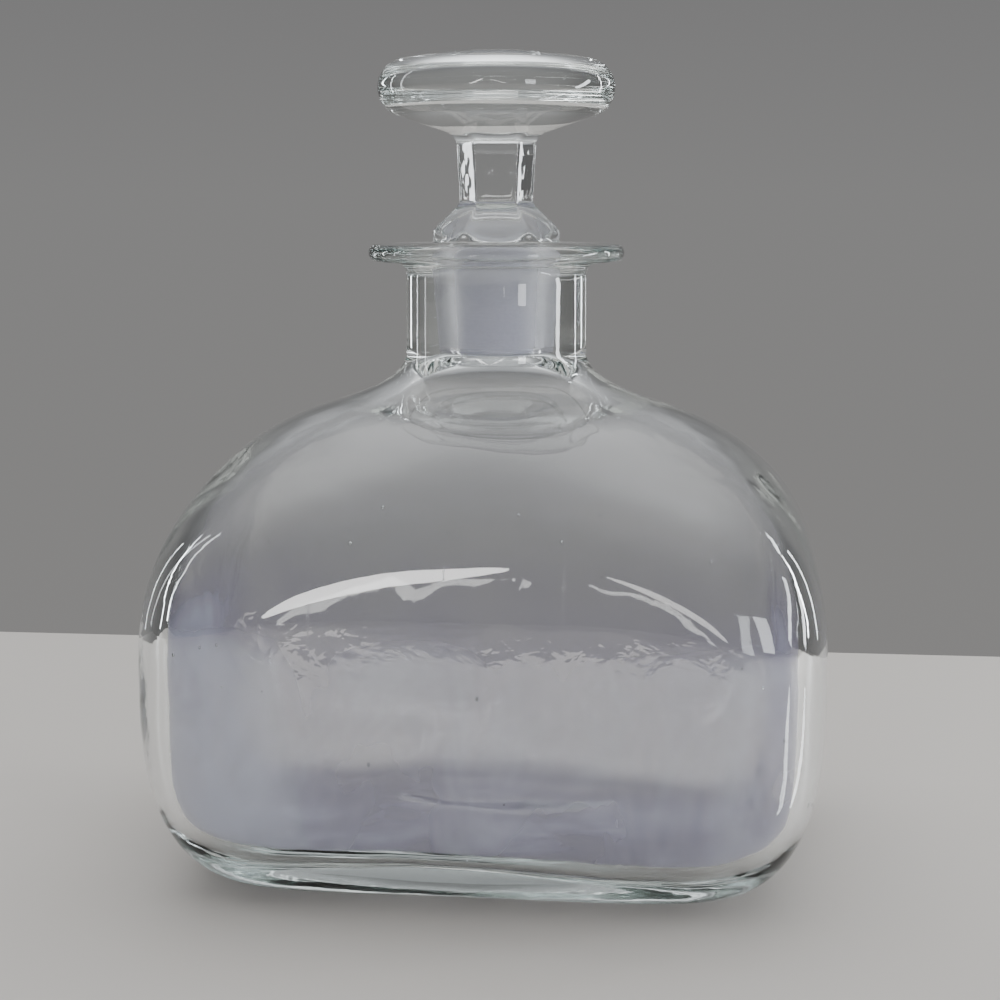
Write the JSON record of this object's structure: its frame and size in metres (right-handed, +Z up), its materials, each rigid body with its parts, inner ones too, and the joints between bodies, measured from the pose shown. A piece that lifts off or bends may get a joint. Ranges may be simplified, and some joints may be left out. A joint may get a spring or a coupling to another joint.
{
  "type": "ships decanter",
  "caption": "Oblong blown glass decanter with domed shoulders, a short neck, a flanged lip and a lift-out mushroom stopper ground to its seat.",
  "frame": {"origin": "centre of the foot, on the plane that the bottle stands on", "axes": "+Z up along the neck, +X along the width of the body, the front faces -Y"},
  "size_m": [0.165, 0.121, 0.2018],
  "materials": {
    "bottle_glass": "clear blown glass with a faint grey-green edge, small seeds and a hazy inside",
    "stopper_glass": "clear cut glass with a frosted ground plug"
  },
  "bodies": {
    "bottle": {"bottle": "bottle_glass"},
    "stopper": {"stopper": "stopper_glass"}
  },
  "joints": [
    {"name": "stopper_lift", "type": "slide", "parent": "bottle", "child": "stopper", "axis": [0, 0, 1], "range_m": [0, 0.06]}
  ]
}
